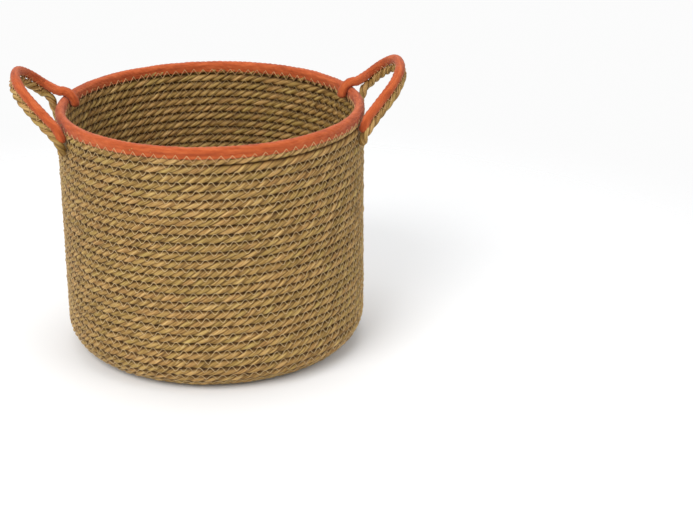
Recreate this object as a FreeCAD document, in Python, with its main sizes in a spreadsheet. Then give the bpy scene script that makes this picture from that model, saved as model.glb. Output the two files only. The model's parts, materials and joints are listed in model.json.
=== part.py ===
import FreeCAD, Part
import math
import os
import Sketcher
from FreeCAD import Vector, Rotation

# A round laundry basket of coiled rope with a bound rim and two rope-loop handles.
# Millimetres, +Z up, +X through the handles, origin on the floor under the middle of the base.

SIZES = {
    "basket_radius": 200.0,
    "basket_height": 328.0,
    "corner_radius": 42.0,
    "rope_diameter": 11.8,
    "rope_press": 0.3,
    "base_flattening": 0.5,
    "knot_overlap": 1.0,
    "coil_clearance": 0.25,
    "rim_rope_thinner_by": 1.8,
    "tape_thickness": 0.8,
    "tape_clearance": 0.25,
    "hem_share": 0.58,
    "thread_diameter": 1.0,
    "thread_clearance": 0.05,
    "handle_tilt": 45.0,
    "handle_spread": 156.0,
    "handle_reach": 77.5,
    "handle_shoulder_radius": 60.0,
    "handle_top_straight": 8.0,
    "handle_core_diameter": 10.3,
    "handle_rope_diameter": 11.4,
    "handle_clearance": 0.3,
    "handle_foot_gap": 0.8,
    "plain_rope_lift": 15.0,
    "bound_end_length": 9.0,
    "inner_end_length": 24.0,
    "plain_end_length": 20.0,
}

document = FreeCAD.newDocument("laundry_basket")
sheet = document.addObject("Spreadsheet::Sheet", "sizes")
for row, (alias, number) in enumerate(SIZES.items(), start=1):
    sheet.set(f"A{row}", alias)
    sheet.set(f"B{row}", str(number))
    sheet.setAlias(f"B{row}", alias)
document.recompute()
sub_parts = []


def size(alias):
    return float(sheet.get(alias))


def keep(sub_part, label):
    """Names a finished sub-part and adds it to those written out."""
    sub_part.Label = label
    sub_parts.append(sub_part)
    return sub_part


def bind(thing, **expressions):
    for name, expression in expressions.items():
        thing.setExpression(name.replace("__", "."), expression)


# ---- places that follow from the sizes, as expressions and as numbers

ROPE_RADIUS = "(sizes.rope_diameter / 2)"
WALL_RADIUS = f"(sizes.basket_radius - {ROPE_RADIUS})"
CORNER_CENTRE_RADIUS = "(sizes.basket_radius - sizes.corner_radius)"
CORNER_RING_RADIUS = f"(sizes.corner_radius - {ROPE_RADIUS})"
BASE_LEVEL = f"({ROPE_RADIUS} - sizes.base_flattening)"
CORNER_CENTRE_LEVEL = f"({BASE_LEVEL} + {CORNER_RING_RADIUS})"
RIM_CORE_RADIUS = "((sizes.rope_diameter - sizes.rim_rope_thinner_by) / 2)"
RIM_INNER_RADIUS = f"({RIM_CORE_RADIUS} + sizes.tape_clearance)"
RIM_OUTER_RADIUS = f"({RIM_INNER_RADIUS} + sizes.tape_thickness)"
RIM_LEVEL = f"(sizes.basket_height - {RIM_OUTER_RADIUS})"
TOP_COURSE_LEVEL = f"({RIM_LEVEL} - {RIM_CORE_RADIUS} - sizes.coil_clearance - {ROPE_RADIUS})"
HEM_LEVEL = f"({TOP_COURSE_LEVEL} + sizes.hem_share * {ROPE_RADIUS})"
ROPE_SIDES = 8
THREAD_SIDES = 6
ROPE_CORNER = f"({ROPE_RADIUS} / cos({180 / ROPE_SIDES} * 1 deg))"
THREAD_RADIUS = "(sizes.thread_diameter / 2)"
THREAD_CORNER = f"({THREAD_RADIUS} / cos({180 / THREAD_SIDES} * 1 deg))"
BOUND_RADIUS = "(sizes.handle_core_diameter / 2 + sizes.tape_clearance + sizes.tape_thickness)"
PLAIN_RADIUS = "(sizes.handle_rope_diameter / 2)"


def value(expression):
    """The number that an expression of the sheet's sizes gives."""
    return float(sheet.evalExpression(expression))


course_pitch = value("sizes.rope_diameter - sizes.rope_press")
wall_steps = math.ceil((value(TOP_COURSE_LEVEL) - value(CORNER_CENTRE_LEVEL)) / course_pitch)
corner_steps = math.ceil(value(CORNER_RING_RADIUS) * math.pi / 2 / course_pitch)
base_rings = math.ceil(value(CORNER_CENTRE_RADIUS) / course_pitch)
corner_step = 90.0 / corner_steps
MIDDLE_SHARE = 0.1  # of a turn, left open at the very middle of the base
WALL_PITCH = f"(({TOP_COURSE_LEVEL} - {CORNER_CENTRE_LEVEL}) / {wall_steps})"
BASE_PITCH = f"({CORNER_CENTRE_RADIUS} / ({base_rings} + {MIDDLE_SHARE}))"


def wall_place(steps):
    """Radius and level on the wall's line, a number of courses above the corner."""
    return WALL_RADIUS, f"({CORNER_CENTRE_LEVEL} + {steps} * {WALL_PITCH})"


def corner_place(steps, out="0"):
    """Radius and level on the corner's arc, counted down from the wall, or that far outside it."""
    angle = f"({steps} * {corner_step} * 1 deg)"
    radius = f"({CORNER_CENTRE_RADIUS} + ({CORNER_RING_RADIUS} + {out}) * cos({angle}))"
    return radius, f"({CORNER_CENTRE_LEVEL} - ({CORNER_RING_RADIUS} + {out}) * sin({angle}))"


def base_place(steps):
    """Radius and level of a ring of the base, counted inwards from the corner."""
    return f"({CORNER_CENTRE_RADIUS} - {steps} * {BASE_PITCH})", BASE_LEVEL


# ---- helpers that make one object each

def ring(name, place, radius=ROPE_RADIUS, sides=ROPE_SIDES):
    """A closed ring of rope or thread about the basket's axis, with flats that touch its radius."""
    section = document.addObject("Part::RegularPolygon", name + "_section")
    section.Polygon = sides
    upright = Rotation(Vector(1, 0, 0), 90) * Rotation(Vector(0, 0, 1), 180 / sides)
    section.Placement = FreeCAD.Placement(Vector(0, 0, 0), upright)
    bind(section, Circumradius=f"{radius} / cos({180 / sides} * 1 deg)",
         Placement__Base__x=place[0], Placement__Base__z=place[1])
    turned = document.addObject("Part::Revolution", name)
    turned.Source = section
    turned.Axis = Vector(0, 0, 1)
    turned.Angle = 360
    turned.Solid = True
    return turned


def group(label, members, kind="Part::Compound"):
    """One object out of several: apart in a compound, joined in a fusion."""
    whole = document.addObject(kind, label)
    if kind == "Part::Compound":
        whole.Links = members
    else:
        whole.Shapes = members
    return whole


def origin_plane(body, role):
    return next(item for item in body.Origin.OriginFeatures if item.Role == role)


def new_body(label):
    return keep(document.addObject("PartDesign::Body", label), label)


def new_sketch(body, name, role="XY_Plane"):
    sketch = body.newObject("Sketcher::SketchObject", name)
    sketch.AttachmentSupport = (origin_plane(body, role), "")
    sketch.MapMode = "FlatFace"
    return sketch


def dimension(sketch, kind, references, expression):
    """A driving dimension of a sketch, bound to the sheet."""
    index = sketch.addConstraint(Sketcher.Constraint(kind, *references, value(expression)))
    sketch.setExpression(f"Constraints[{index}]", expression)


def join(sketch, kind, *references):
    sketch.addConstraint(Sketcher.Constraint(kind, *references))


START, END, CENTRE = 1, 2, 3
ORIGIN = (-1, 1)


def circle(sketch, radius, across, up):
    """A circle with its centre across and up from the sketch's origin."""
    place = Vector(value(across), value(up), 0)
    index = sketch.addGeometry(Part.Circle(place, Vector(0, 0, 1), value(radius)), False)
    dimension(sketch, "Radius", (index,), radius)
    for kind, distance, axis in (("DistanceX", across, -2), ("DistanceY", up, -1)):
        if value(distance) == 0:
            join(sketch, "PointOnObject", index, CENTRE, axis)
        else:
            dimension(sketch, kind, (*ORIGIN, index, CENTRE), distance)


def polyline(sketch, points):
    """Straight edges through the points, joined end to end."""
    pairs = list(zip(points, points[1:]))
    first = sketch.GeometryCount
    for start, end in pairs:
        sketch.addGeometry(Part.LineSegment(Vector(*start, 0), Vector(*end, 0)), False)
    for index in range(first, first + len(pairs) - 1):
        join(sketch, "Coincident", index, END, index + 1, START)
    return first


def revolve(body, sketch):
    turned = body.newObject("PartDesign::Revolution", sketch.Name + "_turned")
    turned.Profile = sketch
    turned.ReferenceAxis = (origin_plane(body, "Z_Axis"), [""])
    turned.Angle = 360.0
    return turned


# ---- the coiled rope: flat base, turned-up corner, straight wall

def make_base_coil():
    """The flat coil, its rings pressed into each other and flattened where they meet the floor."""
    rings = [ring(f"base_ring_{step}", base_place(step)) for step in range(1, base_rings)]
    knot = document.addObject("Part::Ellipsoid", "base_knot")
    knot_radius = f"({CORNER_CENTRE_RADIUS} - {base_rings - 1} * {BASE_PITCH} - {ROPE_RADIUS} + sizes.knot_overlap)"
    bind(knot, Radius1=ROPE_RADIUS, Radius2=knot_radius, Radius3=knot_radius, Placement__Base__z=BASE_LEVEL)
    coil = group("base_rings", [*rings, knot], "Part::MultiFuse")
    keep(cut_flat("base_coil", coil), "base_coil")


def cut_flat(name, coil):
    """The coil without what would lie under the floor."""
    floor = document.addObject("Part::Cylinder", name + "_floor")
    bind(floor, Radius="sizes.basket_radius", Height="sizes.rope_diameter",
         Placement__Base__z="-sizes.rope_diameter")
    cut = document.addObject("Part::Cut", name + "_flattened")
    cut.Base = coil
    cut.Tool = floor
    return cut


def make_corner_coil():
    """The courses between base and wall, hollowed at both ends to lie against their neighbours."""
    rings = [ring(f"corner_ring_{step}", corner_place(step)) for step in range(1, corner_steps + 1)]
    coil = cut_flat("corner_coil", group("corner_rings", rings, "Part::MultiFuse"))
    seat_radius = f"({ROPE_RADIUS} + sizes.coil_clearance)"
    seats = group("corner_seats", [
        ring("wall_seat", wall_place(0), seat_radius),
        ring("base_seat", base_place(1), seat_radius),
    ])
    seated = document.addObject("Part::Cut", "corner_coil_seated")
    seated.Base = coil
    seated.Tool = seats
    keep(seated, "corner_coil")


def make_wall_coil():
    """The straight wall, up to the course under the rim."""
    rings = [ring(f"wall_ring_{step}", wall_place(step)) for step in range(wall_steps + 1)]
    keep(group("wall_coil", rings, "Part::MultiFuse"), "wall_coil")


def groove_out(half_gap):
    """How far out from the courses' middle line a thread lies in the groove between two of them."""
    reach = f"({ROPE_CORNER} + {THREAD_CORNER} + sizes.thread_clearance)"
    return f"sqrt({reach} * {reach} - {half_gap} * {half_gap})"


def make_seams():
    """The sewing thread, as one ring in each groove on each face."""
    wall_out = groove_out(f"({WALL_PITCH} / 2)")
    for side, sign in (("outer", "+"), ("inner", "-")):
        threads = []
        for step in range(wall_steps):
            radius, level = wall_place(step + 0.5)
            place = f"({radius} {sign} {wall_out})", level
            threads.append(ring(f"wall_thread_{side}_{step}", place, THREAD_RADIUS, THREAD_SIDES))
        keep(group(f"wall_seam_{side}", threads), f"wall_seam_{side}")
    half_turn = f"({corner_step / 2} * 1 deg)"
    corner_half = f"({CORNER_RING_RADIUS} * sin({half_turn}))"
    lost = f"({CORNER_RING_RADIUS} * (1 - cos({half_turn})))"
    threads = []
    for step in range(corner_steps):
        for side, sign in (("outer", "+"), ("inner", "-")):
            out = f"({sign}{groove_out(corner_half)} - {lost})"
            place = corner_place(step + 0.5, out)
            threads.append(ring(f"corner_thread_{side}_{step}", place, THREAD_RADIUS, THREAD_SIDES))
    keep(group("corner_seam", threads), "corner_seam")
    base_out = groove_out(f"({BASE_PITCH} / 2)")
    threads = []
    for step in range(base_rings - 1):
        for side, sign in (("under", "-"), ("top", "+")):
            radius, level = base_place(step + 0.5)
            place = radius, f"({level} {sign} {base_out})"
            threads.append(ring(f"base_thread_{side}_{step}", place, THREAD_RADIUS, THREAD_SIDES))
    keep(group("base_seam", threads), "base_seam")


# ---- the rim: a rope, the tape folded over it and the stitch line at the tape's edges

def make_rim():
    rope = document.addObject("Part::Torus", "rim_rope")
    bind(rope, Radius1=WALL_RADIUS, Radius2=RIM_CORE_RADIUS, Placement__Base__z=RIM_LEVEL)
    keep(rope, "rim_rope")
    body = new_body("rim_binding")
    sketch = new_sketch(body, "binding_section", "XZ_Plane")
    middle, level = value(WALL_RADIUS), value(RIM_LEVEL)
    outer, inner = value(RIM_OUTER_RADIUS), value(RIM_INNER_RADIUS)
    edge = value(HEM_LEVEL)
    up = Vector(0, 0, 1)
    folds = []
    for radius in (outer, inner):
        arc = Part.ArcOfCircle(Part.Circle(Vector(middle, level, 0), up, radius), 0, math.pi)
        folds.append(sketch.addGeometry(arc, False))
    for out in (1, -1):
        near = Vector(middle + out * inner, edge, 0)
        far = Vector(middle + out * outer, edge, 0)
        legs = [
            sketch.addGeometry(Part.LineSegment(far, Vector(far.x, level, 0)), False),
            sketch.addGeometry(Part.LineSegment(near, Vector(near.x, level, 0)), False),
        ]
        hem = sketch.addGeometry(Part.LineSegment(far, near), False)
        for leg, fold in zip(legs, folds):
            join(sketch, "Tangent", leg, END, fold, START if out == 1 else END)
            join(sketch, "Vertical", leg)
        join(sketch, "Coincident", hem, START, legs[0], START)
        join(sketch, "Coincident", hem, END, legs[1], START)
        dimension(sketch, "DistanceY", (*ORIGIN, hem, START), HEM_LEVEL)
        join(sketch, "Horizontal", hem)
    join(sketch, "Coincident", folds[0], CENTRE, folds[1], CENTRE)
    dimension(sketch, "DistanceX", (*ORIGIN, folds[0], CENTRE), WALL_RADIUS)
    dimension(sketch, "DistanceY", (*ORIGIN, folds[0], CENTRE), RIM_LEVEL)
    dimension(sketch, "Radius", (folds[0],), RIM_OUTER_RADIUS)
    dimension(sketch, "Radius", (folds[1],), RIM_INNER_RADIUS)
    body.Tip = revolve(body, sketch)
    # The stitch line lies against the tape, just above its edge.
    out = f"({RIM_OUTER_RADIUS} + {THREAD_CORNER} + sizes.thread_clearance)"
    seam_level = f"({HEM_LEVEL} + 2 * sizes.thread_diameter)"
    threads = [
        ring("rim_thread_outer", (f"({WALL_RADIUS} + {out})", seam_level), THREAD_RADIUS, THREAD_SIDES),
        ring("rim_thread_inner", (f"({WALL_RADIUS} - {out})", seam_level), THREAD_RADIUS, THREAD_SIDES),
    ]
    keep(group("rim_seam", threads), "rim_seam")


# ---- the handles: a bound rope and a plain rope sewn side by side, bent into a loop

FOOT_SIDEWAYS = "(sizes.handle_spread / 2)"
RIM_STITCH = f"(2 * {THREAD_CORNER} + sizes.thread_clearance + sizes.handle_clearance)"
FOOT_RADIUS = f"({WALL_RADIUS} + {RIM_OUTER_RADIUS} + {RIM_STITCH} + {BOUND_RADIUS})"
HINGE_OUT = f"sqrt({FOOT_RADIUS} * {FOOT_RADIUS} - {FOOT_SIDEWAYS} * {FOOT_SIDEWAYS})"
HINGE_LEVEL = f"({RIM_LEVEL} - {RIM_CORE_RADIUS})"
ROPE_STEP = f"({BOUND_RADIUS} + {PLAIN_RADIUS} + sizes.handle_clearance / 2)"


def loop_path(body, name, shift="0", lift=None):
    """Half a loop, from the middle of its top to a foot: a flat, a shoulder and a leaning leg.

    shift widens the whole loop, and lift stops the leg that far above the foot.
    """
    reach = f"(sizes.handle_reach + {shift})"
    shoulder = f"(sizes.handle_shoulder_radius + {shift})"
    centre = Vector(value("sizes.handle_top_straight / 2"), value(reach) - value(shoulder), 0)
    foot = Vector(value(FOOT_SIDEWAYS), 0, 0)
    middle_radius = size("handle_shoulder_radius")
    span = foot - centre
    lean = math.acos(middle_radius / span.Length) + math.atan2(span.y, span.x)
    toward = Vector(math.cos(lean), math.sin(lean), 0)
    foot_shift = f"({FOOT_SIDEWAYS} + {shift} / {math.cos(lean)})"
    foot = Vector(value(foot_shift), 0, 0)
    tangent = centre + toward * value(shoulder)
    leg = foot - tangent
    end = foot if lift is None else tangent + leg * ((tangent.y - value(lift)) / tangent.y)
    sketch = new_sketch(body, name)
    top = sketch.addGeometry(Part.LineSegment(Vector(0, value(reach), 0), Vector(centre.x, value(reach), 0)), False)
    bend = Part.ArcOfCircle(Part.Circle(centre, Vector(0, 0, 1), value(shoulder)), lean, math.pi / 2)
    arc = sketch.addGeometry(bend, False)
    straight = sketch.addGeometry(Part.LineSegment(tangent, end), False)
    join(sketch, "PointOnObject", top, START, -2)
    join(sketch, "Horizontal", top)
    dimension(sketch, "DistanceY", (*ORIGIN, top, START), reach)
    dimension(sketch, "DistanceX", (*ORIGIN, top, END), "sizes.handle_top_straight / 2")
    join(sketch, "Tangent", top, END, arc, END)
    join(sketch, "Tangent", arc, START, straight, START)
    dimension(sketch, "Radius", (arc,), shoulder)
    if lift is None:
        join(sketch, "PointOnObject", straight, END, -1)
        dimension(sketch, "DistanceX", (*ORIGIN, straight, END), foot_shift)
        return sketch
    rest = sketch.addGeometry(Part.LineSegment(end, foot), True)
    join(sketch, "Tangent", straight, END, rest, START)
    join(sketch, "PointOnObject", rest, END, -1)
    dimension(sketch, "DistanceX", (*ORIGIN, rest, END), foot_shift)
    dimension(sketch, "DistanceY", (*ORIGIN, straight, END), lift)
    return sketch


def loop(body, radii, shift="0", lift=None):
    """A closed tube or rod along a whole loop: one half swept from the top, then mirrored."""
    stem = body.Name
    path = loop_path(body, stem + "_path", shift, lift)
    section = new_sketch(body, stem + "_section", "YZ_Plane")
    for radius in radii:
        circle(section, radius, f"(sizes.handle_reach + {shift})", "0")
    document.recompute()
    half = body.newObject("PartDesign::AdditivePipe", stem + "_half")
    half.Profile = section
    half.Spine = (path, [])
    document.recompute()
    whole = body.newObject("PartDesign::Mirrored", stem + "_whole")
    whole.Originals = [half]
    whole.MirrorPlane = (origin_plane(body, "YZ_Plane"), [""])
    body.Tip = whole
    return body


def add_ball_feet(body, radius):
    """Closes both feet of a loop with balls centred on the hinge line."""
    for name, sign in (("first", ""), ("second", "-")):
        ball = body.newObject("PartDesign::AdditiveSphere", f"{body.Name}_{name}_foot")
        ball.AttachmentSupport = (origin_plane(body, "XY_Plane"), "")
        ball.MapMode = "FlatFace"
        bind(ball, Radius=radius, AttachmentOffset__Base__x=sign + FOOT_SIDEWAYS)
        body.Tip = ball


def place_loop(thing, side, step="0"):
    """Tilts a loop out from the rim; step moves it across, to the loop's outer and lower face."""
    tilt = size("handle_tilt")
    outward = Rotation(Vector(0, 0, 1), 0 if side == 1 else 180)
    upright = Rotation(Vector(0, 1, 0), Vector(0, 0, 1), Vector(1, 0, 0), "XYZ")
    lay_back = Rotation(Vector(0, 1, 0), 90 - tilt)
    thing.Placement = FreeCAD.Placement(Vector(0, 0, 0), outward * lay_back * upright)
    across = f"({step} * sin(sizes.handle_tilt * 1 deg))"
    down = f"({step} * cos(sizes.handle_tilt * 1 deg))"
    bind(thing, Placement__Base__x=f"{side} * ({HINGE_OUT} + {across})", Placement__Base__z=f"{HINGE_LEVEL} - {down}")


def make_loop(side_name, side):
    """The moving part of one handle: rope in its binding, plain rope beside it, and their seam."""
    core_lift = f"({BOUND_RADIUS} + 2 * sizes.tape_clearance)"
    core = loop(new_body(f"{side_name}_handle_core"), ["sizes.handle_core_diameter / 2"], lift=core_lift)
    place_loop(core, side)
    inner = "(sizes.handle_core_diameter / 2 + sizes.tape_clearance)"
    binding = loop(new_body(f"{side_name}_handle_binding"), [BOUND_RADIUS, inner])
    add_ball_feet(binding, BOUND_RADIUS)
    place_loop(binding, side)
    plain = loop(new_body(f"{side_name}_handle_plain_rope"), [PLAIN_RADIUS], lift="sizes.plain_rope_lift")
    place_loop(plain, side, ROPE_STEP)
    seam_lift = "(sizes.plain_rope_lift + 2 * sizes.thread_diameter)"
    away = f"({BOUND_RADIUS} + {THREAD_RADIUS} + 2 * sizes.thread_clearance)"
    out = f"sqrt({away} * {away} - {ROPE_STEP} * {ROPE_STEP} / 4)"
    for name, shift in (("outer", out), ("inner", f"(-{out})")):
        seam = loop(new_body(f"{side_name}_handle_seam_{name}"), [THREAD_RADIUS], shift, seam_lift)
        place_loop(seam, side, f"({ROPE_STEP} / 2)")


# ---- the ends of the handle ropes, sewn down to the rim and the wall

def stub(label, side, front, radius, out, top, length):
    """A short upright rope end with a rounded foot, standing against the wall at a handle's foot."""
    body = new_body(label)
    sketch = new_sketch(body, label + "_profile", "XZ_Plane")
    r, full = value(radius), value(length)
    first = polyline(sketch, [(0.0, -full), (0.0, 0.0), (r, 0.0), (r, r - full)])
    cap = Part.ArcOfCircle(Part.Circle(Vector(0, r - full, 0), Vector(0, 0, 1), r), -math.pi / 2, 0)
    foot = sketch.addGeometry(cap, False)
    axis, lid, wall = first, first + 1, first + 2
    join(sketch, "Coincident", lid, START, *ORIGIN)
    join(sketch, "Vertical", axis)
    join(sketch, "Horizontal", lid)
    join(sketch, "Tangent", wall, END, foot, END)
    join(sketch, "Coincident", foot, START, axis, START)
    join(sketch, "PointOnObject", foot, CENTRE, -2)
    join(sketch, "Vertical", wall)
    dimension(sketch, "DistanceX", (lid, START, lid, END), radius)
    dimension(sketch, "DistanceY", (axis, START, axis, END), length)
    body.Tip = revolve(body, sketch)
    place_at_foot(body, side, front, out, top)


def foot_direction(side, front):
    """The way out from the basket's axis to one foot of one handle."""
    angle = math.degrees(math.asin(value(FOOT_SIDEWAYS) / value(FOOT_RADIUS)))
    return angle * front * side if side == 1 else 180 + angle * front * side


def place_at_foot(body, side, front, out, top):
    """Turns a piece's X axis towards a foot and moves it out and up to its place."""
    heading = foot_direction(side, front)
    body.Placement = FreeCAD.Placement(Vector(0, 0, 0), Rotation(Vector(0, 0, 1), heading))
    bind(body, Placement__Base__x=f"{out} * cos({heading} * 1 deg)",
         Placement__Base__y=f"{out} * sin({heading} * 1 deg)", Placement__Base__z=top)


def over_rim(label, side, front):
    """The bound rope's far end: in over the rim and down the inside of the wall."""
    body = new_body(label)
    path = new_sketch(body, label + "_path", "XZ_Plane")
    bend = f"({RIM_OUTER_RADIUS} + {RIM_STITCH} + {BOUND_RADIUS})"
    run = RIM_CORE_RADIUS
    length = "sizes.inner_end_length"
    b, out, drop = value(bend), value(run), value(length)
    down = path.addGeometry(Part.LineSegment(Vector(-b, -drop, 0), Vector(-b, 0, 0)), False)
    turn = Part.ArcOfCircle(Part.Circle(Vector(0, 0, 0), Vector(0, 0, 1), b), math.pi / 2, math.pi)
    arc = path.addGeometry(turn, False)
    across = path.addGeometry(Part.LineSegment(Vector(0, b, 0), Vector(out, b, 0)), False)
    join(path, "Coincident", arc, CENTRE, *ORIGIN)
    join(path, "Tangent", down, END, arc, END)
    join(path, "Tangent", arc, START, across, START)
    join(path, "Horizontal", across)
    join(path, "Vertical", down)
    dimension(path, "Radius", (arc,), bend)
    dimension(path, "DistanceX", (across, START, across, END), run)
    dimension(path, "DistanceY", (down, START, down, END), length)
    section = new_sketch(body, label + "_section", "YZ_Plane")
    section.AttachmentOffset = FreeCAD.Placement(Vector(0, 0, out), Rotation())
    section.setExpression("AttachmentOffset.Base.z", run)
    circle(section, BOUND_RADIUS, "0", bend)
    document.recompute()
    rope = body.newObject("PartDesign::AdditivePipe", label + "_rope")
    rope.Profile = section
    rope.Spine = (path, [])
    body.Tip = rope
    place_at_foot(body, side, front, WALL_RADIUS, RIM_LEVEL)


def make_ends(side_name, side):
    """The four sewn-down ends of one handle; the front ones are at its -Y foot."""
    front_top = f"({HINGE_LEVEL} - {BOUND_RADIUS} - sizes.handle_foot_gap)"
    stub(f"{side_name}_bound_end_front", side, -1, BOUND_RADIUS, FOOT_RADIUS, front_top, "sizes.bound_end_length")
    over_rim(f"{side_name}_bound_end_back", side, 1)
    plain_out = f"(sizes.basket_radius + {PLAIN_RADIUS} + sizes.handle_clearance)"
    back_top = f"({HINGE_LEVEL} - {PLAIN_RADIUS} - 2 * sizes.handle_foot_gap)"
    front_plain_top = f"({front_top} - sizes.bound_end_length - sizes.handle_clearance)"
    stub(f"{side_name}_plain_end_front", side, -1, PLAIN_RADIUS, plain_out, front_plain_top, "sizes.plain_end_length")
    stub(f"{side_name}_plain_end_back", side, 1, PLAIN_RADIUS, plain_out, back_top, "sizes.plain_end_length")


def check_and_write():
    document.recompute()
    failed = [item.Label for item in document.Objects if {"Invalid", "Error"} & set(item.State)]
    if failed:
        raise SystemExit("not built: " + ", ".join(failed))
    os.makedirs("parts", exist_ok=True)
    for sub_part in sub_parts:
        shape = sub_part.Shape
        if shape.isNull() or not shape.isValid() or not shape.Solids:
            raise SystemExit("no valid solid: " + sub_part.Label)
    for sub_part in sub_parts:
        sub_part.Shape.exportStep(f"parts/{sub_part.Label}.step")
        print(f"{sub_part.Label}: {len(sub_part.Shape.Solids)} solids, {sub_part.Shape.Volume / 1000:.1f} cm3")


make_base_coil()
make_corner_coil()
make_wall_coil()
make_seams()
make_rim()
for side_name, side in (("left", -1), ("right", 1)):
    make_loop(side_name, side)
    make_ends(side_name, side)
check_and_write()
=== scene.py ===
import json
import math

import bpy
import numpy as np
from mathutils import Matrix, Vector


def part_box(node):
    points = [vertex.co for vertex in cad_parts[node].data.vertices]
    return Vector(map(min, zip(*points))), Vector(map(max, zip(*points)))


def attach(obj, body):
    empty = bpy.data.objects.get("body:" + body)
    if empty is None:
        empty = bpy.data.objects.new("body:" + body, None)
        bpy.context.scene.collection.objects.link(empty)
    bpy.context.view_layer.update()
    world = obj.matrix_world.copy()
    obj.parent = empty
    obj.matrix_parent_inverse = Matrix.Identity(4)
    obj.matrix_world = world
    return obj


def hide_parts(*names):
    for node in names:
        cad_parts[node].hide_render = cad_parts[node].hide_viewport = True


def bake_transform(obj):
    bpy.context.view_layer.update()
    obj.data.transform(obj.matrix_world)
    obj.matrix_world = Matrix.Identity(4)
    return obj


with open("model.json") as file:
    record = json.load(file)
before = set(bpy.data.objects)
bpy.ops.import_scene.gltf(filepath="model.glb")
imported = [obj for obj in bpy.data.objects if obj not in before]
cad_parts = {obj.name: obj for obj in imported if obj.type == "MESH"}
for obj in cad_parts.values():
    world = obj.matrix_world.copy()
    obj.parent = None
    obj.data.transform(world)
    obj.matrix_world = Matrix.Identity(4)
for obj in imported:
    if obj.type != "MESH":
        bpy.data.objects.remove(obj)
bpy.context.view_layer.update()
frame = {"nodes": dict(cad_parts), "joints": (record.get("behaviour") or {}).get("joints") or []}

# ---- sizes in metres; places come from the frame

ROPE_RADIUS = 0.0059
COURSE_PITCH = 0.0112
ROPE_LEAD = 0.042
STRANDS = 3
STRAND_SIDES = 8
ROPE_STEP = 0.0026
PIECE_TURNS = 7

FIBRE_HEIGHT = 0.00022
COIL_DRIFT = 0.00022
CONTACT_OVERLAP = 0.00012
FLOOR_CLEARANCE = 0.0001

THREAD_RADIUS = 0.00039
THREAD_SIDES = 5
STITCH_PERIOD = 0.0133
STITCH_REACH = 0.0044
STITCH_SAMPLES = 6

TAPE_RADIUS = 0.0062
TAPE_THICKNESS = 0.0009
TAPE_RIDGE_PERIOD = 0.0075
TAPE_WRAP = 0.0035
PLAIN_RADIUS = 0.0057
END_TAPER = 0.004
HANDLE_TILT = math.radians(45)
PLAIN_ROPE_DROP = math.radians(76)
BACK_END_NEARER = math.radians(9)
HANDLE_REACH = 0.0775
HANDLE_SHOULDER = 0.060
HANDLE_TOP_STRAIGHT = 0.008
HANDLE_SPREAD = 0.156
HANDLE_STEP = 0.0120

wall_low, wall_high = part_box("wall_coil")
base_low, base_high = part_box("base_coil")
rim_low, rim_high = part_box("rim_binding")
wall_radius = wall_high.x - ROPE_RADIUS
top_course_level = wall_high.z - ROPE_RADIUS
corner_level = wall_low.z + ROPE_RADIUS
base_level = base_high.z - ROPE_RADIUS
corner_radius = corner_level - base_level
corner_centre = wall_radius - corner_radius
tape_half_width = (rim_high.x - wall_radius)
rim_level = rim_high.z - tape_half_width


# ---- small numeric helpers

def unit(vectors):
    return vectors / np.linalg.norm(vectors, axis=-1, keepdims=True)


def wander(distance, wavelength, seed):
    """Smooth random numbers between about -1 and 1 along a distance."""
    steps = distance / wavelength
    values = np.random.default_rng(seed).uniform(-1, 1, int(steps.max()) + 4)
    cell = np.floor(steps).astype(int)
    part = steps - cell
    part = part * part * (3 - 2 * part)
    return values[cell] * (1 - part) + values[cell + 1] * part


def run_length(points):
    steps = np.linalg.norm(np.diff(points, axis=0), axis=1)
    return np.concatenate([[0.0], np.cumsum(steps)])


def resample(points, step):
    """Points evenly spaced along a smooth curve through the given ones."""
    points = np.asarray(points, float)
    padded = np.vstack([2 * points[0] - points[1], points, 2 * points[-1] - points[-2]])
    smooth = []
    for before, start, end, after in zip(padded, padded[1:], padded[2:], padded[3:]):
        part = np.linspace(0, 1, 16, endpoint=False)[:, None]
        smooth.append(0.5 * (2 * start + (end - before) * part
                             + (2 * before - 5 * start + 4 * end - after) * part ** 2
                             + (3 * start - before - 3 * end + after) * part ** 3))
    curve = np.vstack([*smooth, points[-1:]])
    length = run_length(curve)
    wanted = np.linspace(0, length[-1], max(3, round(length[-1] / step) + 1))
    return np.column_stack([np.interp(wanted, length, curve[:, axis]) for axis in range(3)])


def carried_frame(points, first_out):
    """An outward direction carried along a curve without twisting about it."""
    tangents = unit(np.gradient(points, axis=0))
    outs = np.zeros_like(points)
    out = np.asarray(first_out, float)
    for index, tangent in enumerate(tangents):
        out = out - tangent * np.dot(out, tangent)
        out = out / np.linalg.norm(out)
        outs[index] = out
    return outs


# ---- mesh builders

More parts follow.
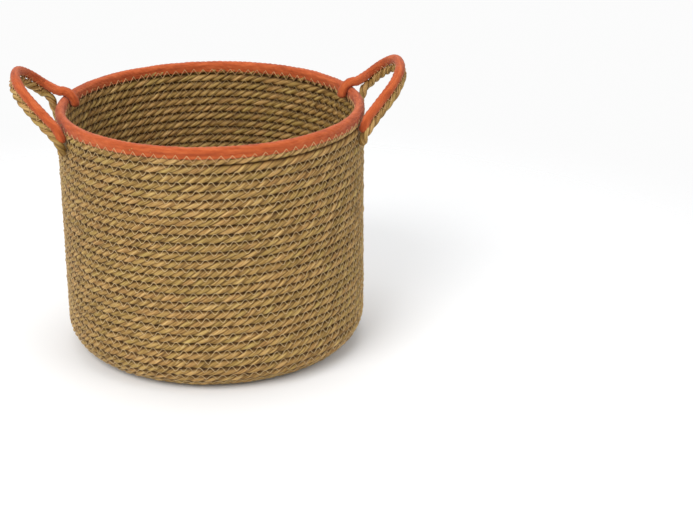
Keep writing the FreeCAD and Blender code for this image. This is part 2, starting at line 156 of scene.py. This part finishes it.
def sweep(name, centres, outs, radii, twist, coordinates, first=0, last=None, groove_shade_depths=None):
    """A closed tube: rings of points about a centre line.

    radii has one row for each ring. coordinates(ring, side) gives the numbers stored at face corners
    for the material: distance along, place across a strand from -1 to 1, and the strand's own number.
    """
    last = len(centres) if last is None else last
    sides = radii.shape[1]
    tangents = unit(np.gradient(centres, axis=0))
    outs = unit(outs - tangents * np.sum(outs * tangents, axis=1, keepdims=True))
    across = np.cross(tangents, outs)
    angle = 2 * math.pi * np.arange(sides) / sides + twist[:, None]
    rings = (centres[:, None, :]
             + (radii * np.cos(angle))[:, :, None] * outs[:, None, :]
             + (radii * np.sin(angle))[:, :, None] * across[:, None, :])[first:last]
    count = len(rings)
    points = np.vstack([rings.reshape(-1, 3), rings[0].mean(axis=0), rings[-1].mean(axis=0)])
    points[:, 2] = np.maximum(points[:, 2], FLOOR_CLEARANCE)
    ring, side = np.meshgrid(np.arange(count - 1), np.arange(sides), indexing="ij")
    ring, side = ring.ravel(), side.ravel()
    after = (side + 1) % sides
    quads = np.column_stack([ring * sides + side, ring * sides + after,
                             (ring + 1) * sides + after, (ring + 1) * sides + side])
    turn = np.arange(sides)
    following = (turn + 1) % sides
    start_cap = np.column_stack([np.full(sides, count * sides), following, turn])
    lowest = (count - 1) * sides
    end_cap = np.column_stack([np.full(sides, count * sides + 1), lowest + turn, lowest + following])
    mesh = mesh_of(name, points, [quads, start_cap, end_cap])
    corner_rings = np.column_stack([ring, ring, ring + 1, ring + 1]) + first
    corner_sides = np.column_stack([side, side + 1, side + 1, side])
    values = coordinates(corner_rings, corner_sides, side[:, None]).reshape(-1, 3)
    caps = np.zeros((sides * 6, 3))
    attribute = mesh.attributes.new("lay", "FLOAT_VECTOR", "CORNER")
    attribute.data.foreach_set("vector", np.vstack([values, caps]).astype(np.float32).ravel())
    # groove depth, kept for the painted shade between neighbouring courses
    if groove_shade_depths is not None:
        depth = mesh.attributes.new("valley", "FLOAT", "POINT")
        depth.data.foreach_set("value", np.append(groove_shade_depths[first:last].ravel(), [0, 0]).astype(np.float32))
    return link(name, mesh)


def mesh_of(name, points, face_sets):
    """A smooth-shaded mesh from points and arrays of quads or triangles."""
    mesh = bpy.data.meshes.new(name)
    loops = np.concatenate([faces.ravel() for faces in face_sets]).astype(np.int32)
    sizes = np.concatenate([np.full(len(faces), faces.shape[1]) for faces in face_sets]).astype(np.int32)
    mesh.vertices.add(len(points))
    mesh.vertices.foreach_set("co", np.asarray(points, np.float32).ravel())
    mesh.loops.add(len(loops))
    mesh.loops.foreach_set("vertex_index", loops)
    mesh.polygons.add(len(sizes))
    mesh.polygons.foreach_set("loop_start", np.concatenate([[0], np.cumsum(sizes)[:-1]]).astype(np.int32))
    mesh.polygons.foreach_set("use_smooth", np.ones(len(sizes), bool))
    mesh.update(calc_edges=True)
    mesh.validate()
    return mesh


def link(name, mesh):
    piece = bpy.data.objects.new(name, mesh)
    bpy.context.scene.collection.objects.link(piece)
    return piece


def strand_coordinates(along, seed, sides_each=STRAND_SIDES):
    """Lay numbers of a rope of strands, with the seed telling one rope from another."""
    def coordinates(rings, sides, face_side):
        strand = face_side // sides_each
        across = (sides - strand * sides_each) / sides_each * 2 - 1
        number = strand + 0 * sides + 1.0 + 4.0 * seed
        return np.stack([along[rings], across, number], axis=-1)
    return coordinates


def rope_arrays(centres, radius, seed, taper_start=0.0, taper_end=0.0):
    """Ring radii and twist of a rope of twisted strands, uneven the way dry rush is."""
    along = run_length(centres)
    turning = 1 + 0.22 * wander(along, 0.07, seed) + 0.10 * wander(along, 0.024, seed + 1)
    steps = np.diff(along, prepend=0.0)
    twist = -2 * math.pi * np.cumsum(steps * turning) / ROPE_LEAD
    sides = STRANDS * STRAND_SIDES
    place = (np.arange(sides) % STRAND_SIDES) / STRAND_SIDES
    lean = (place - 0.5) * 2 * math.pi / STRANDS
    offset = 1.1547
    lobe = (offset * np.cos(lean) + np.sqrt(1 - (offset * np.sin(lean)) ** 2 + 1e-9)) / (1 + offset)
    lobe = 0.38 + 0.62 * np.maximum(lobe, 0.5)
    strand = np.arange(sides) // STRAND_SIDES
    size = np.ones((len(along), sides))
    for number in range(STRANDS):
        fat = 0.075 * wander(along, 0.033, seed + 11 + number)
        fat += 0.035 * wander(along, 0.011, seed + 21 + number)
        size[:, strand == number] += fat[:, None]
    whole = 1 + 0.025 * wander(along, 0.09, seed + 31)
    radii = radius * lobe[None, :] * size * whole[:, None]
    fibres = [wander(along + 0.013 * side, 0.006, seed + 41 + side) for side in range(sides)]
    radii += FIBRE_HEIGHT * np.stack(fibres, axis=1)
    ends = np.ones(len(along))
    if taper_start:
        ends = np.minimum(ends, np.sqrt(np.clip(along / taper_start, 0.02, 1)))
    if taper_end:
        ends = np.minimum(ends, np.sqrt(np.clip((along[-1] - along) / taper_end, 0.02, 1)))
    return along, radii * ends[:, None], twist


def press_together(radii, twist):
    """Ropes laid side by side flatten where they touch; also gives how deep in the groove each point is,
    the mask of the painted shade between courses.
    """
    angle = 2 * math.pi * np.arange(radii.shape[1]) / radii.shape[1] + twist[:, None]
    sideways = np.abs(np.sin(angle))
    touching = np.clip((sideways - 0.78) / 0.19, 0, 1)
    touching = touching * touching * (3 - 2 * touching)
    pressed = radii * (1 - touching) + (COURSE_PITCH / 2 + CONTACT_OVERLAP) * touching
    return pressed, np.clip((sideways - 0.55) / 0.40, 0, 1)


def thread(name, centres, outs):
    """A thin sewing thread along a path."""
    radii = np.full((len(centres), THREAD_SIDES), THREAD_RADIUS)
    along = run_length(centres)
    twist = np.zeros(len(centres))
    return sweep(name, centres, outs, radii, twist, strand_coordinates(along, 0, THREAD_SIDES))


# ---- the coil's path

def profile(turns):
    """Radius, level and outward direction of the coil's middle line, a number of turns from the centre."""
    distance = np.asarray(turns) * COURSE_PITCH
    arc = corner_radius * math.pi / 2
    flat = np.clip(distance, 0, corner_centre)
    bend = np.clip(distance - corner_centre, 0, arc) / corner_radius
    rise = np.maximum(distance - corner_centre - arc, 0)
    radius = flat + corner_radius * np.sin(bend)
    level = base_level + corner_radius * (1 - np.cos(bend)) + rise
    return radius, level, np.sin(bend), -np.cos(bend)


def around(turns, radius, level):
    """Points at an azimuth that follows the turns; whole turns lie at the front."""
    azimuth = 2 * math.pi * np.asarray(turns) - math.pi / 2
    return np.column_stack([radius * np.cos(azimuth), radius * np.sin(azimuth), level])


corner_arc = corner_radius * math.pi / 2
turns_up = (corner_centre + corner_arc + top_course_level - corner_level) / COURSE_PITCH
TOP_TURNS = round(turns_up)
turn_shift = TOP_TURNS - turns_up


def coil_turns(first, last, step):
    """Turn counts that step evenly along the coil."""
    turns = [first]
    while turns[-1] < last:
        radius = max(float(profile(turns[-1])[0]), 0.003)
        turns.append(turns[-1] + step / (2 * math.pi * radius))
    return np.array(turns)


def coil_points(turns, outer_share=0.0):
    """Places on the coil, or that share of a course further out, and the directions out of its wall."""
    radius, level, out_radius, out_level = profile(turns + outer_share - turn_shift)
    return around(turns, radius, level), around(turns, out_radius, out_level)


# ---- materials

def new_material(name):
    material = bpy.data.materials.new(name)
    material.use_nodes = True
    nodes = material.node_tree.nodes
    return material, nodes, material.node_tree.links, nodes["Principled BSDF"]


def lay_vector(nodes, links, scale):
    """The stored lay numbers, scaled along, across and from strand to strand."""
    lay = nodes.new("ShaderNodeAttribute")
    lay.attribute_name = "lay"
    scaled = nodes.new("ShaderNodeVectorMath")
    scaled.operation = "MULTIPLY"
    scaled.inputs[1].default_value = scale
    links.new(lay.outputs["Vector"], scaled.inputs[0])
    return scaled.outputs[0]


def noise_of(nodes, links, vector, scale=1.0, detail=3.0, roughness=0.55):
    noise = nodes.new("ShaderNodeTexNoise")
    noise.inputs["Scale"].default_value = scale
    noise.inputs["Detail"].default_value = detail
    noise.inputs["Roughness"].default_value = roughness
    links.new(vector, noise.inputs["Vector"])
    return noise.outputs["Fac"]


def ramp_of(nodes, links, factor, stops):
    ramp = nodes.new("ShaderNodeValToRGB")
    ramp.color_ramp.elements.remove(ramp.color_ramp.elements[0])
    for index, (place, colour) in enumerate(stops):
        element = ramp.color_ramp.elements[0] if index == 0 else ramp.color_ramp.elements.new(place)
        element.position = place
        element.color = (*colour, 1)
    links.new(factor, ramp.inputs["Fac"])
    return ramp.outputs["Color"]


def math_of(nodes, links, operation, *values):
    node = nodes.new("ShaderNodeMath")
    node.operation = operation
    for socket, value in zip(node.inputs, values):
        if isinstance(value, (int, float)):
            socket.default_value = value
        else:
            links.new(value, socket)
    return node.outputs[0]


def mix_colours(nodes, links, blend, factor, first, second):
    mix = nodes.new("ShaderNodeMix")
    mix.data_type = "RGBA"
    mix.blend_type = blend
    for socket, value in zip((mix.inputs[0], mix.inputs[6], mix.inputs[7]), (factor, first, second)):
        if isinstance(value, (int, float)):
            socket.default_value = value
        elif isinstance(value, tuple):
            socket.default_value = (*value, 1)
        else:
            links.new(value, socket)
    return mix.outputs[2]


def bump(nodes, links, shader, height, distance, strength=1.0):
    bumped = nodes.new("ShaderNodeBump")
    bumped.inputs["Distance"].default_value = distance
    bumped.inputs["Strength"].default_value = strength
    links.new(height, bumped.inputs["Height"])
    links.new(bumped.outputs["Normal"], shader.inputs["Normal"])


def rush_material():
    """Dry twisted rush: pale straw to olive brown leaves, streaked along each strand, with painted shade in
    the creases between strands and in the grooves between courses.
    """
    material, nodes, links, shader = new_material("dry_rush")
    streaks = noise_of(nodes, links, lay_vector(nodes, links, (45.0, 5.5, 3.1)), detail=4.0, roughness=0.6)
    leaves = noise_of(nodes, links, lay_vector(nodes, links, (26.0, 1.3, 5.7)), detail=1.5)
    patches = noise_of(nodes, links, lay_vector(nodes, links, (5.0, 0.0, 1.7)), detail=2.0)
    tone = math_of(nodes, links, "ADD", math_of(nodes, links, "MULTIPLY", leaves, 0.55),
                   math_of(nodes, links, "MULTIPLY", streaks, 0.45))
    colour = ramp_of(nodes, links, tone, [
        (0.34, (0.130, 0.064, 0.013)),
        (0.44, (0.290, 0.165, 0.045)),
        (0.53, (0.420, 0.262, 0.086)),
        (0.66, (0.620, 0.430, 0.180)),
    ])
    olive = ramp_of(nodes, links, patches, [(0.38, (0.86, 0.88, 0.68)), (0.62, (1.05, 0.97, 0.92))])
    colour = mix_colours(nodes, links, "MULTIPLY", 1.0, colour, olive)
    # painted shade: the colour darkens towards each strand's edges, in the creases between strands
    split = nodes.new("ShaderNodeSeparateXYZ")
    links.new(lay_vector(nodes, links, (1.0, 1.0, 1.0)), split.inputs[0])
    edge = math_of(nodes, links, "ABSOLUTE", split.outputs[1])
    painted_crease_shade = ramp_of(nodes, links, edge, [(0.72, (1.0, 1.0, 1.0)), (0.97, (0.42, 0.34, 0.24))])
    colour = mix_colours(nodes, links, "MULTIPLY", 1.0, colour, painted_crease_shade)
    # painted shade: darkens the rush in the grooves between neighbouring courses, by the stored groove
    # depth
    valley = nodes.new("ShaderNodeAttribute")
    valley.attribute_name = "valley"
    groove = ramp_of(nodes, links, valley.outputs["Fac"], [
        (0.0, (1.0, 1.0, 1.0)),
        (1.0, (0.24, 0.17, 0.09)),
    ])
    colour = mix_colours(nodes, links, "MULTIPLY", 1.0, colour, groove)
    links.new(colour, shader.inputs["Base Color"])
    roughness = math_of(nodes, links, "MULTIPLY_ADD", streaks, 0.35, 0.42)
    links.new(roughness, shader.inputs["Roughness"])
    shader.inputs["Specular IOR Level"].default_value = 0.35
    height = math_of(nodes, links, "ADD", math_of(nodes, links, "MULTIPLY", streaks, 0.65), leaves)
    bump(nodes, links, shader, height, 0.0016)
    return material


def tape_material():
    """Orange cotton tape: a fine weave, soft wrinkles, and a colour that is lighter where the wrinkles
    stand higher.
    """
    material, nodes, links, shader = new_material("orange_tape")
    weave_place = lay_vector(nodes, links, (1500.0, 30.0, 1.0))
    checks = nodes.new("ShaderNodeTexVoronoi")
    checks.inputs["Scale"].default_value = 1.0
    links.new(weave_place, checks.inputs["Vector"])
    patches = noise_of(nodes, links, lay_vector(nodes, links, (60.0, 1.6, 1.0)), detail=4.0)
    wear = noise_of(nodes, links, lay_vector(nodes, links, (14.0, 0.8, 2.0)), detail=2.0)
    # the tone follows the wrinkle pattern that also drives the bump, so the colour is lighter where the
    # wrinkles stand higher
    tone = math_of(nodes, links, "ADD", math_of(nodes, links, "MULTIPLY", patches, 0.6),
                   math_of(nodes, links, "MULTIPLY", wear, 0.4))
    colour = ramp_of(nodes, links, tone, [
        (0.36, (0.300, 0.048, 0.008)),
        (0.50, (0.418, 0.076, 0.015)),
        (0.64, (0.520, 0.115, 0.030)),
    ])
    links.new(colour, shader.inputs["Base Color"])
    shader.inputs["Roughness"].default_value = 0.82
    shader.inputs["Specular IOR Level"].default_value = 0.25
    shader.inputs["Sheen Weight"].default_value = 0.12
    weave = math_of(nodes, links, "MULTIPLY", checks.outputs["Distance"], 0.12)
    height = math_of(nodes, links, "ADD", weave, patches)
    bump(nodes, links, shader, height, 0.0011)
    return material


def thread_material(name, dark, light):
    material, nodes, links, shader = new_material(name)
    tone = noise_of(nodes, links, lay_vector(nodes, links, (60.0, 1.0, 1.0)), detail=2.0)
    colour = ramp_of(nodes, links, tone, [(0.35, dark), (0.65, light)])
    links.new(colour, shader.inputs["Base Color"])
    shader.inputs["Roughness"].default_value = 0.6
    return material


# ---- pieces

def finish_piece(piece, material, body, nodes):
    piece.data.materials.append(material)
    if body:
        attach(piece, body)
    if nodes:
        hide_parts(*nodes)
    return piece


def make_coil(material):
    """The one long rope, from the middle of the base up into the rim, in pieces of a few turns."""
    turns = coil_turns(0.35, TOP_TURNS + 0.95, ROPE_STEP)
    centres, outs = coil_points(turns)
    along, radii, twist = rope_arrays(centres, ROPE_RADIUS, 100, taper_start=0.008, taper_end=0.008)
    radii, groove_shade_depths = press_together(radii, twist)
    drift = COIL_DRIFT * wander(along, 0.05, 7)
    centres = centres + outs * drift[:, None]
    cut_turns = [0.0, corner_centre / COURSE_PITCH]
    cut_turns.append(cut_turns[-1] + corner_arc / COURSE_PITCH)
    while cut_turns[-1] + PIECE_TURNS < TOP_TURNS:
        cut_turns.append(cut_turns[-1] + PIECE_TURNS)
    cuts = [int(np.searchsorted(turns, cut)) for cut in cut_turns] + [len(turns) - 1]
    names = ["base_coil", "corner_coil"]
    for number, (first, last) in enumerate(zip(cuts, cuts[1:])):
        node = names[number] if number < len(names) else "wall_coil"
        piece = sweep(f"rush_rope_{number}", centres, outs, radii, twist,
                      strand_coordinates(along, 1), first, last + 1, groove_shade_depths)
        finish_piece(piece, material, "basket", [node])


def zigzag(phase):
    """A zigzag between -1 and 1."""
    return 2 / math.pi * np.arcsin(np.sin(2 * math.pi * phase))


def seam_lift(up, radius):
    """How far a stitch lies out from the middle line, at a height above or below the groove."""
    beside = np.clip(radius - np.abs(up), 0, radius)
    surface = np.sqrt(np.maximum(radius ** 2 - beside ** 2, 0))
    top = math.sqrt(radius ** 2 - (radius - STITCH_REACH) ** 2)
    return np.maximum(surface, top * 0.80) + THREAD_RADIUS * 0.7


def make_coil_seam(name, face, first, last, material, node):
    """Zigzag stitches along the groove between neighbouring turns, on one face."""
    turns = coil_turns(first, last, STITCH_PERIOD / STITCH_SAMPLES)
    middle, outs = coil_points(turns, 0.5)
    along_seam = run_length(middle)
    tangents = unit(np.gradient(middle, axis=0))
    ups = np.cross(tangents, outs)
    up = STITCH_REACH * zigzag(along_seam / STITCH_PERIOD) * (1 + 0.12 * wander(along_seam, 0.011, 61))
    lift = seam_lift(up, COURSE_PITCH / 2)
    centres = middle + ups * up[:, None] + outs * (face * lift)[:, None]
    piece = thread(name, centres, outs)
    finish_piece(piece, material, "basket", [node])


def closed_period(period):
    """The nearest length that fits a whole number of times round the rim."""
    rim_length = 2 * math.pi * wall_radius
    return rim_length / round(rim_length / period)


def make_rim(material, thread_look):
    """The tape folded over the top course, with its edges sewn down."""
    count = 760
    half = tape_half_width
    azimuth = np.linspace(0, 2 * math.pi, count, endpoint=False)
    along = azimuth * wall_radius
    edge = rim_low.z
    leg = rim_level - edge
    section = []
    for step in range(6):
        section.append((half, -leg + leg * step / 6))
    for step in range(15):
        turn = math.pi * step / 14
        section.append((half * math.cos(turn), half * math.sin(turn)))
    for step in range(1, 7):
        section.append((-half, -leg * step / 6))
    outline = len(section)
    inner = half - TAPE_THICKNESS
    section.append((-inner, -leg + 0.0004))
    section.append((-inner, -leg * 0.5))
    section.append((inner, -leg * 0.5))
    section.append((inner, -leg + 0.0004))
    section = np.array(section)
    sides = len(section)
    ridges = np.zeros((count, sides))
    lengths = run_length(section)
    closing = closed_period(TAPE_RIDGE_PERIOD)
    for side in range(outline):
        slant = along + lengths[side] * 1.1
        ridges[:, side] = (0.00030 * np.sin(2 * math.pi * slant / closing + 2.0 * wander(slant, 0.05, 71))
                           + 0.00028 * wander(slant, 0.017, 72) + 0.00016 * wander(slant, 0.0045, 73))
    phase = along / closed_period(STITCH_PERIOD)
    pinch = 0.00035 * np.cos(2 * math.pi * phase)
    points = np.zeros((count, sides, 3))
    for side, (across, up) in enumerate(section):
        reach = math.hypot(across, max(up, 0.0))
        swell = ridges[:, side] if side < outline else np.zeros(count)
        low = max(0.0, -up / leg) ** 3
        inward = -low * (0.0004 + pinch * 0.8)
        factor = (swell + inward) / max(reach, 1e-6)
        radius = wall_radius + across * (1 + factor)
        level = rim_level + up * (1 + (factor if up > 0 else 0)) + low * pinch
        points[:, side, 0] = radius * np.cos(azimuth)
        points[:, side, 1] = radius * np.sin(azimuth)
        points[:, side, 2] = level
    ring, side = np.meshgrid(np.arange(count), np.arange(sides), indexing="ij")
    ring, side = ring.ravel(), side.ravel()
    next_ring, next_side = (ring + 1) % count, (side + 1) % sides
    quads = np.column_stack([ring * sides + side, next_ring * sides + side,
                             next_ring * sides + next_side, ring * sides + next_side])
    mesh = mesh_of("rim_tape", points.reshape(-1, 3), [quads])
    distance = np.append(along, 2 * math.pi * wall_radius)
    place = np.append(lengths, lengths[-1]) / half
    values = np.stack([distance[np.column_stack([ring, ring + 1, ring + 1, ring])],
                       place[np.column_stack([side, side, side + 1, side + 1])],
                       np.ones((len(ring), 4))], axis=-1)
    attribute = mesh.attributes.new("lay", "FLOAT_VECTOR", "CORNER")
    attribute.data.foreach_set("vector", values.astype(np.float32).ravel())
    piece = link("rim_tape", mesh)
    finish_piece(piece, material, "basket", ["rim_binding"])
    make_rim_seam(thread_look, edge)


def make_rim_seam(material, edge):
    for name, face in (("outer", 1), ("inner", -1)):
        turns = round(2 * math.pi * wall_radius / STITCH_PERIOD)
        angle = np.linspace(0, 2 * math.pi, turns * 8 + 1)
        along = angle * wall_radius
        wave = zigzag(angle * turns / (2 * math.pi)) * (1 + 0.15 * wander(along, 0.014, 81))
        level = edge + 0.0004 + STITCH_REACH * wave
        lift = np.where(wave > 0, tape_half_width + 0.0001, tape_half_width - 0.0004) + THREAD_RADIUS * 0.6
        radius = wall_radius + face * lift
        centres = np.column_stack([radius * np.cos(angle), radius * np.sin(angle), level])
        outs = np.column_stack([np.cos(angle), np.sin(angle), 0 * angle]) * face
        piece = thread(f"rim_stitches_{name}", centres, outs)
        finish_piece(piece, material, "basket", ["rim_seam"])


# ---- handles

def handle_axes(joint):
    """Hinge point, outward, sideways and slanted directions of one handle."""
    hinge = np.array(joint["pos_m"], float)
    side = 1.0 if hinge[0] > 0 else -1.0
    slant = np.array([side * math.cos(HANDLE_TILT), 0, math.sin(HANDLE_TILT)])
    normal = np.array([side * math.cos(PLAIN_ROPE_DROP), 0, -math.sin(PLAIN_ROPE_DROP)])
    return hinge, side, slant, normal


def loop_outline(low_front, low_back):
    """The loop in its own plane, from the front leg to the back leg: places across and up."""
    centre = np.array([HANDLE_TOP_STRAIGHT / 2, HANDLE_REACH - HANDLE_SHOULDER])
    foot = np.array([HANDLE_SPREAD / 2, 0.0])
    span = foot - centre
    lean = math.acos(HANDLE_SHOULDER / np.linalg.norm(span)) + math.atan2(span[1], span[0])
    tangent = centre + HANDLE_SHOULDER * np.array([math.cos(lean), math.sin(lean)])
    leg = foot - tangent
    turns = np.linspace(lean, math.pi / 2, 8)
    arc = [centre + HANDLE_SHOULDER * np.array([math.cos(turn), math.sin(turn)]) for turn in turns]
    legs = {}
    for name, low in (("front", low_front), ("back", low_back)):
        levels = np.linspace(low, tangent[1], 5)[:-1]
        legs[name] = [tangent + leg * (tangent[1] - level) / tangent[1] for level in levels]
    half = np.array(arc)
    front = np.array(legs["front"] + list(half)) * (-1, 1)
    back = (np.array(legs["back"] + list(half)))[::-1]
    return np.vstack([front, back])


def at_wall(side, front, radial, level, nearer=0.0):
    """A point at a handle's foot, at a radius from the basket's axis."""
    heading = math.asin(HANDLE_SPREAD / 2 / (rim_high.x + TAPE_RADIUS + 0.0012)) - nearer
    return np.array([side * radial * math.cos(heading), front * radial * math.sin(heading), level])


def handle_path(joint, step, front_end, back_end, low_front, low_back, nearer=0.0):
    """Points of one handle rope: an end on the wall, the loop, and the other end."""
    hinge, side, slant, normal = handle_axes(joint)
    outline = loop_outline(low_front, low_back)
    loop = hinge + normal * step + outline[:, :1] * np.array([0, 1.0, 0]) + outline[:, 1:] * slant
    front = [at_wall(side, -1, radial, level) for radial, level in front_end]
    back = [at_wall(side, 1, radial, level, nearer) for radial, level in back_end]
    return np.vstack([front, loop, back])


def make_handle(joint, tape, rush, thread_look):
    name = joint["child"]
    prefix = name.split("_")[0]
    hinge, side, slant, normal = handle_axes(joint)
    wall = wall_high.x
    bound = handle_path(
        joint, 0.0,
        [(wall + 0.0050, rim_low.z - 0.0125), (wall + 0.0062, rim_low.z - 0.006)],
        [(wall + 0.0040, rim_high.z + 0.0075), (wall - 0.0060, rim_high.z + 0.0064),
         (wall - 0.0140, rim_high.z + 0.0015), (wall - 0.0182, rim_high.z - 0.0065),
         (wall - 0.0184, rim_high.z - 0.0150)],
        0.006, 0.034, BACK_END_NEARER)
    centres = resample(bound, 0.002)
    along = run_length(centres)
    sides = 20
    angle = 2 * math.pi * np.arange(sides) / sides
    slanted = along[:, None] + angle[None, :] * TAPE_WRAP
    closing = 2 * math.pi * TAPE_WRAP
    bumps = (0.00034 * np.sin(2 * math.pi * slanted / (closing / 3) + 2 * wander(along, 0.04, 91)[:, None])
             + 0.00030 * wander(along, 0.02, 92)[:, None])
    rounding = np.minimum(1, np.sqrt(np.clip(np.minimum(along, along[-1] - along) / 0.0045, 0.01, 1)))
    radii = (TAPE_RADIUS + bumps) * rounding[:, None]
    outs = carried_frame(centres, normal)

    def coordinates(rings, corner_sides, face_side):
        return np.stack([along[rings], corner_sides / sides * 2 * math.pi, 2.0 + 0 * corner_sides], axis=-1)

    twist = np.zeros(len(centres))
    orange = sweep(f"{prefix}_bound_rope", centres, outs, radii, twist, coordinates)
    finish_piece(orange, tape, None, [
        f"{prefix}_handle_binding", f"{prefix}_handle_core",
        f"{prefix}_bound_end_front", f"{prefix}_bound_end_back"])
    plain = handle_path(
        joint, HANDLE_STEP,
        [(wall + 0.0052, rim_low.z - 0.0300), (wall + 0.0062, rim_low.z - 0.0200),
         (wall + 0.0105, rim_low.z - 0.0105)],
        [(wall + 0.0140, rim_high.z - 0.0030), (wall + 0.0085, rim_low.z - 0.0050),
         (wall + 0.0060, rim_low.z - 0.0160), (wall + 0.0052, rim_low.z - 0.0280)],
        0.012, 0.034, BACK_END_NEARER)
    rope_centres = resample(plain, 0.0022)
    rope_along, rope_radii, rope_twist = rope_arrays(
        rope_centres, PLAIN_RADIUS, 300 + int(side), END_TAPER, END_TAPER)
    natural = sweep(f"{prefix}_plain_rope", rope_centres, carried_frame(rope_centres, normal), rope_radii,
                    rope_twist, strand_coordinates(rope_along, 5 + int(side)))
    finish_piece(natural, rush, None, [
        f"{prefix}_handle_plain_rope", f"{prefix}_plain_end_front", f"{prefix}_plain_end_back"])
    stitches = handle_stitches(joint, prefix, thread_look)
    for piece in (orange, natural, *stitches):
        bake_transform(piece)


def handle_stitches(joint, prefix, material):
    """Zigzag stitches that join the two ropes, in the groove on each side of the band."""
    hinge, side, slant, normal = handle_axes(joint)
    outline = loop_outline(0.010, 0.016)
    middle = (hinge + normal * (HANDLE_STEP / 2)
              + outline[:, :1] * np.array([0, 1.0, 0]) + outline[:, 1:] * slant)
    middle = resample(middle, STITCH_PERIOD / 8)
    along = run_length(middle)
    tangents = unit(np.gradient(middle, axis=0))
    aside = np.cross(tangents, normal)
    pieces = []
    for name, face in (("outer", 1), ("inner", -1)):
        up = STITCH_REACH * zigzag(along / STITCH_PERIOD) * (1 + 0.15 * wander(along, 0.012, 95))
        lift = seam_lift(up, HANDLE_STEP / 2)
        centres = middle - up[:, None] * normal + face * lift[:, None] * aside
        piece = thread(f"{prefix}_handle_stitches_{name}", centres, aside * face)
        finish_piece(piece, material, None, [f"{prefix}_handle_seam_{name}"])
        pieces.append(piece)
    return pieces


# ---- stage

def make_floor():
    size = 12.0
    mesh = mesh_of("floor", [(-size, -size, 0), (size, -size, 0), (size, size, 0), (-size, size, 0)],
                   [np.array([[0, 1, 2, 3]])])
    floor = link("floor", mesh)
    material, nodes, links, shader = new_material("pale_floor")
    shader.inputs["Base Color"].default_value = (0.86, 0.86, 0.86, 1)
    shader.inputs["Roughness"].default_value = 0.9
    shader.inputs["Specular IOR Level"].default_value = 0.1
    place = nodes.new("ShaderNodeTexCoord")
    length = nodes.new("ShaderNodeVectorMath")
    length.operation = "LENGTH"
    links.new(place.outputs["Object"], length.inputs[0])
    fade = nodes.new("ShaderNodeMapRange")
    fade.interpolation_type = "SMOOTHSTEP"
    fade.inputs["From Min"].default_value = 0.45
    fade.inputs["From Max"].default_value = 1.05
    links.new(length.outputs["Value"], fade.inputs["Value"])
    clear = nodes.new("ShaderNodeBsdfTransparent")
    mix = nodes.new("ShaderNodeMixShader")
    links.new(fade.outputs["Result"], mix.inputs[0])
    links.new(shader.outputs[0], mix.inputs[1])
    links.new(clear.outputs[0], mix.inputs[2])
    links.new(mix.outputs[0], nodes["Material Output"].inputs["Surface"])
    mesh.materials.append(material)


def make_light(name, place, aim, size, power):
    light = bpy.data.lights.new(name, "AREA")
    light.shape = "DISK"
    light.size = size
    light.energy = power
    lamp = bpy.data.objects.new(name, light)
    lamp.location = place
    lamp.rotation_euler = (Vector(aim) - Vector(place)).to_track_quat("-Z", "Y").to_euler()
    bpy.context.scene.collection.objects.link(lamp)


def make_world():
    """Even pale light from all round; camera rays see plain white."""
    world = bpy.data.worlds.new("studio")
    bpy.context.scene.world = world
    world.use_nodes = True
    nodes, links = world.node_tree.nodes, world.node_tree.links
    seen, lit = nodes["Background"], nodes.new("ShaderNodeBackground")
    seen.inputs["Color"].default_value = (1, 1, 1, 1)
    seen.inputs["Strength"].default_value = 0.97
    lit.inputs["Color"].default_value = (0.97, 0.985, 1, 1)
    lit.inputs["Strength"].default_value = 0.62
    paths = nodes.new("ShaderNodeLightPath")
    mix = nodes.new("ShaderNodeMixShader")
    links.new(paths.outputs["Is Camera Ray"], mix.inputs[0])
    links.new(lit.outputs[0], mix.inputs[1])
    links.new(seen.outputs[0], mix.inputs[2])
    links.new(mix.outputs[0], nodes["World Output"].inputs["Surface"])


def make_camera():
    camera = bpy.data.cameras.new("camera")
    camera.sensor_width = 36.0
    camera.lens = 86.77
    seat = bpy.data.objects.new("camera", camera)
    seat.location = (-0.0706, -2.1010, 0.9521)
    seat.rotation_euler = (math.radians(67.76), 0, math.radians(-6.75))
    bpy.context.scene.collection.objects.link(seat)
    bpy.context.scene.camera = seat


# ---- build

rush, tape = rush_material(), tape_material()
stitch = thread_material("sewing_thread", (0.46, 0.24, 0.09), (0.70, 0.44, 0.20))
outer_stitch = thread_material("outer_coil_thread", (0.38, 0.25, 0.10), (0.64, 0.47, 0.24))
# painted shade: a darker copy of the coil thread for the basket's inside faces
inner_stitch_painted_shade = thread_material("inner_coil_thread_painted_shade", (0.22, 0.14, 0.05), (0.42, 0.29, 0.13))
make_coil(rush)
wall_first = (corner_centre + corner_arc) / COURSE_PITCH + turn_shift
base_last = corner_centre / COURSE_PITCH + turn_shift
for name, face, first, last, node in (
        ("base_stitches_top", -1, 1.0, base_last - 1, "base_seam"),
        ("base_stitches_under", 1, 1.0, base_last - 1, "base_seam"),
        ("corner_stitches_inner", -1, base_last - 1, wall_first - 1, "corner_seam"),
        ("corner_stitches_outer", 1, base_last - 1, wall_first - 1, "corner_seam"),
        ("wall_stitches_inner", -1, wall_first - 1, TOP_TURNS - 1, "wall_seam_inner"),
        ("wall_stitches_outer", 1, wall_first - 1, TOP_TURNS - 1, "wall_seam_outer")):
    make_coil_seam(name, face, first, last, outer_stitch if face > 0 else inner_stitch_painted_shade, node)
make_rim(tape, stitch)
for hinge_joint in frame["joints"]:
    make_handle(hinge_joint, tape, rush, stitch)
frame["nodes"]["rim_rope"].data.materials.clear()
frame["nodes"]["rim_rope"].data.materials.append(rush)
bpy.context.scene.view_settings.view_transform = "Standard"
make_floor()
make_world()
make_light("key", (-1.6, -2.0, 2.2), (0, 0, 0.15), 2.4, 84)
make_light("fill", (1.8, -1.6, 1.6), (0, 0, 0.2), 1.8, 18)
make_light("top", (0.1, 0.6, 2.4), (0, 0, 0), 2.0, 22)
make_camera()
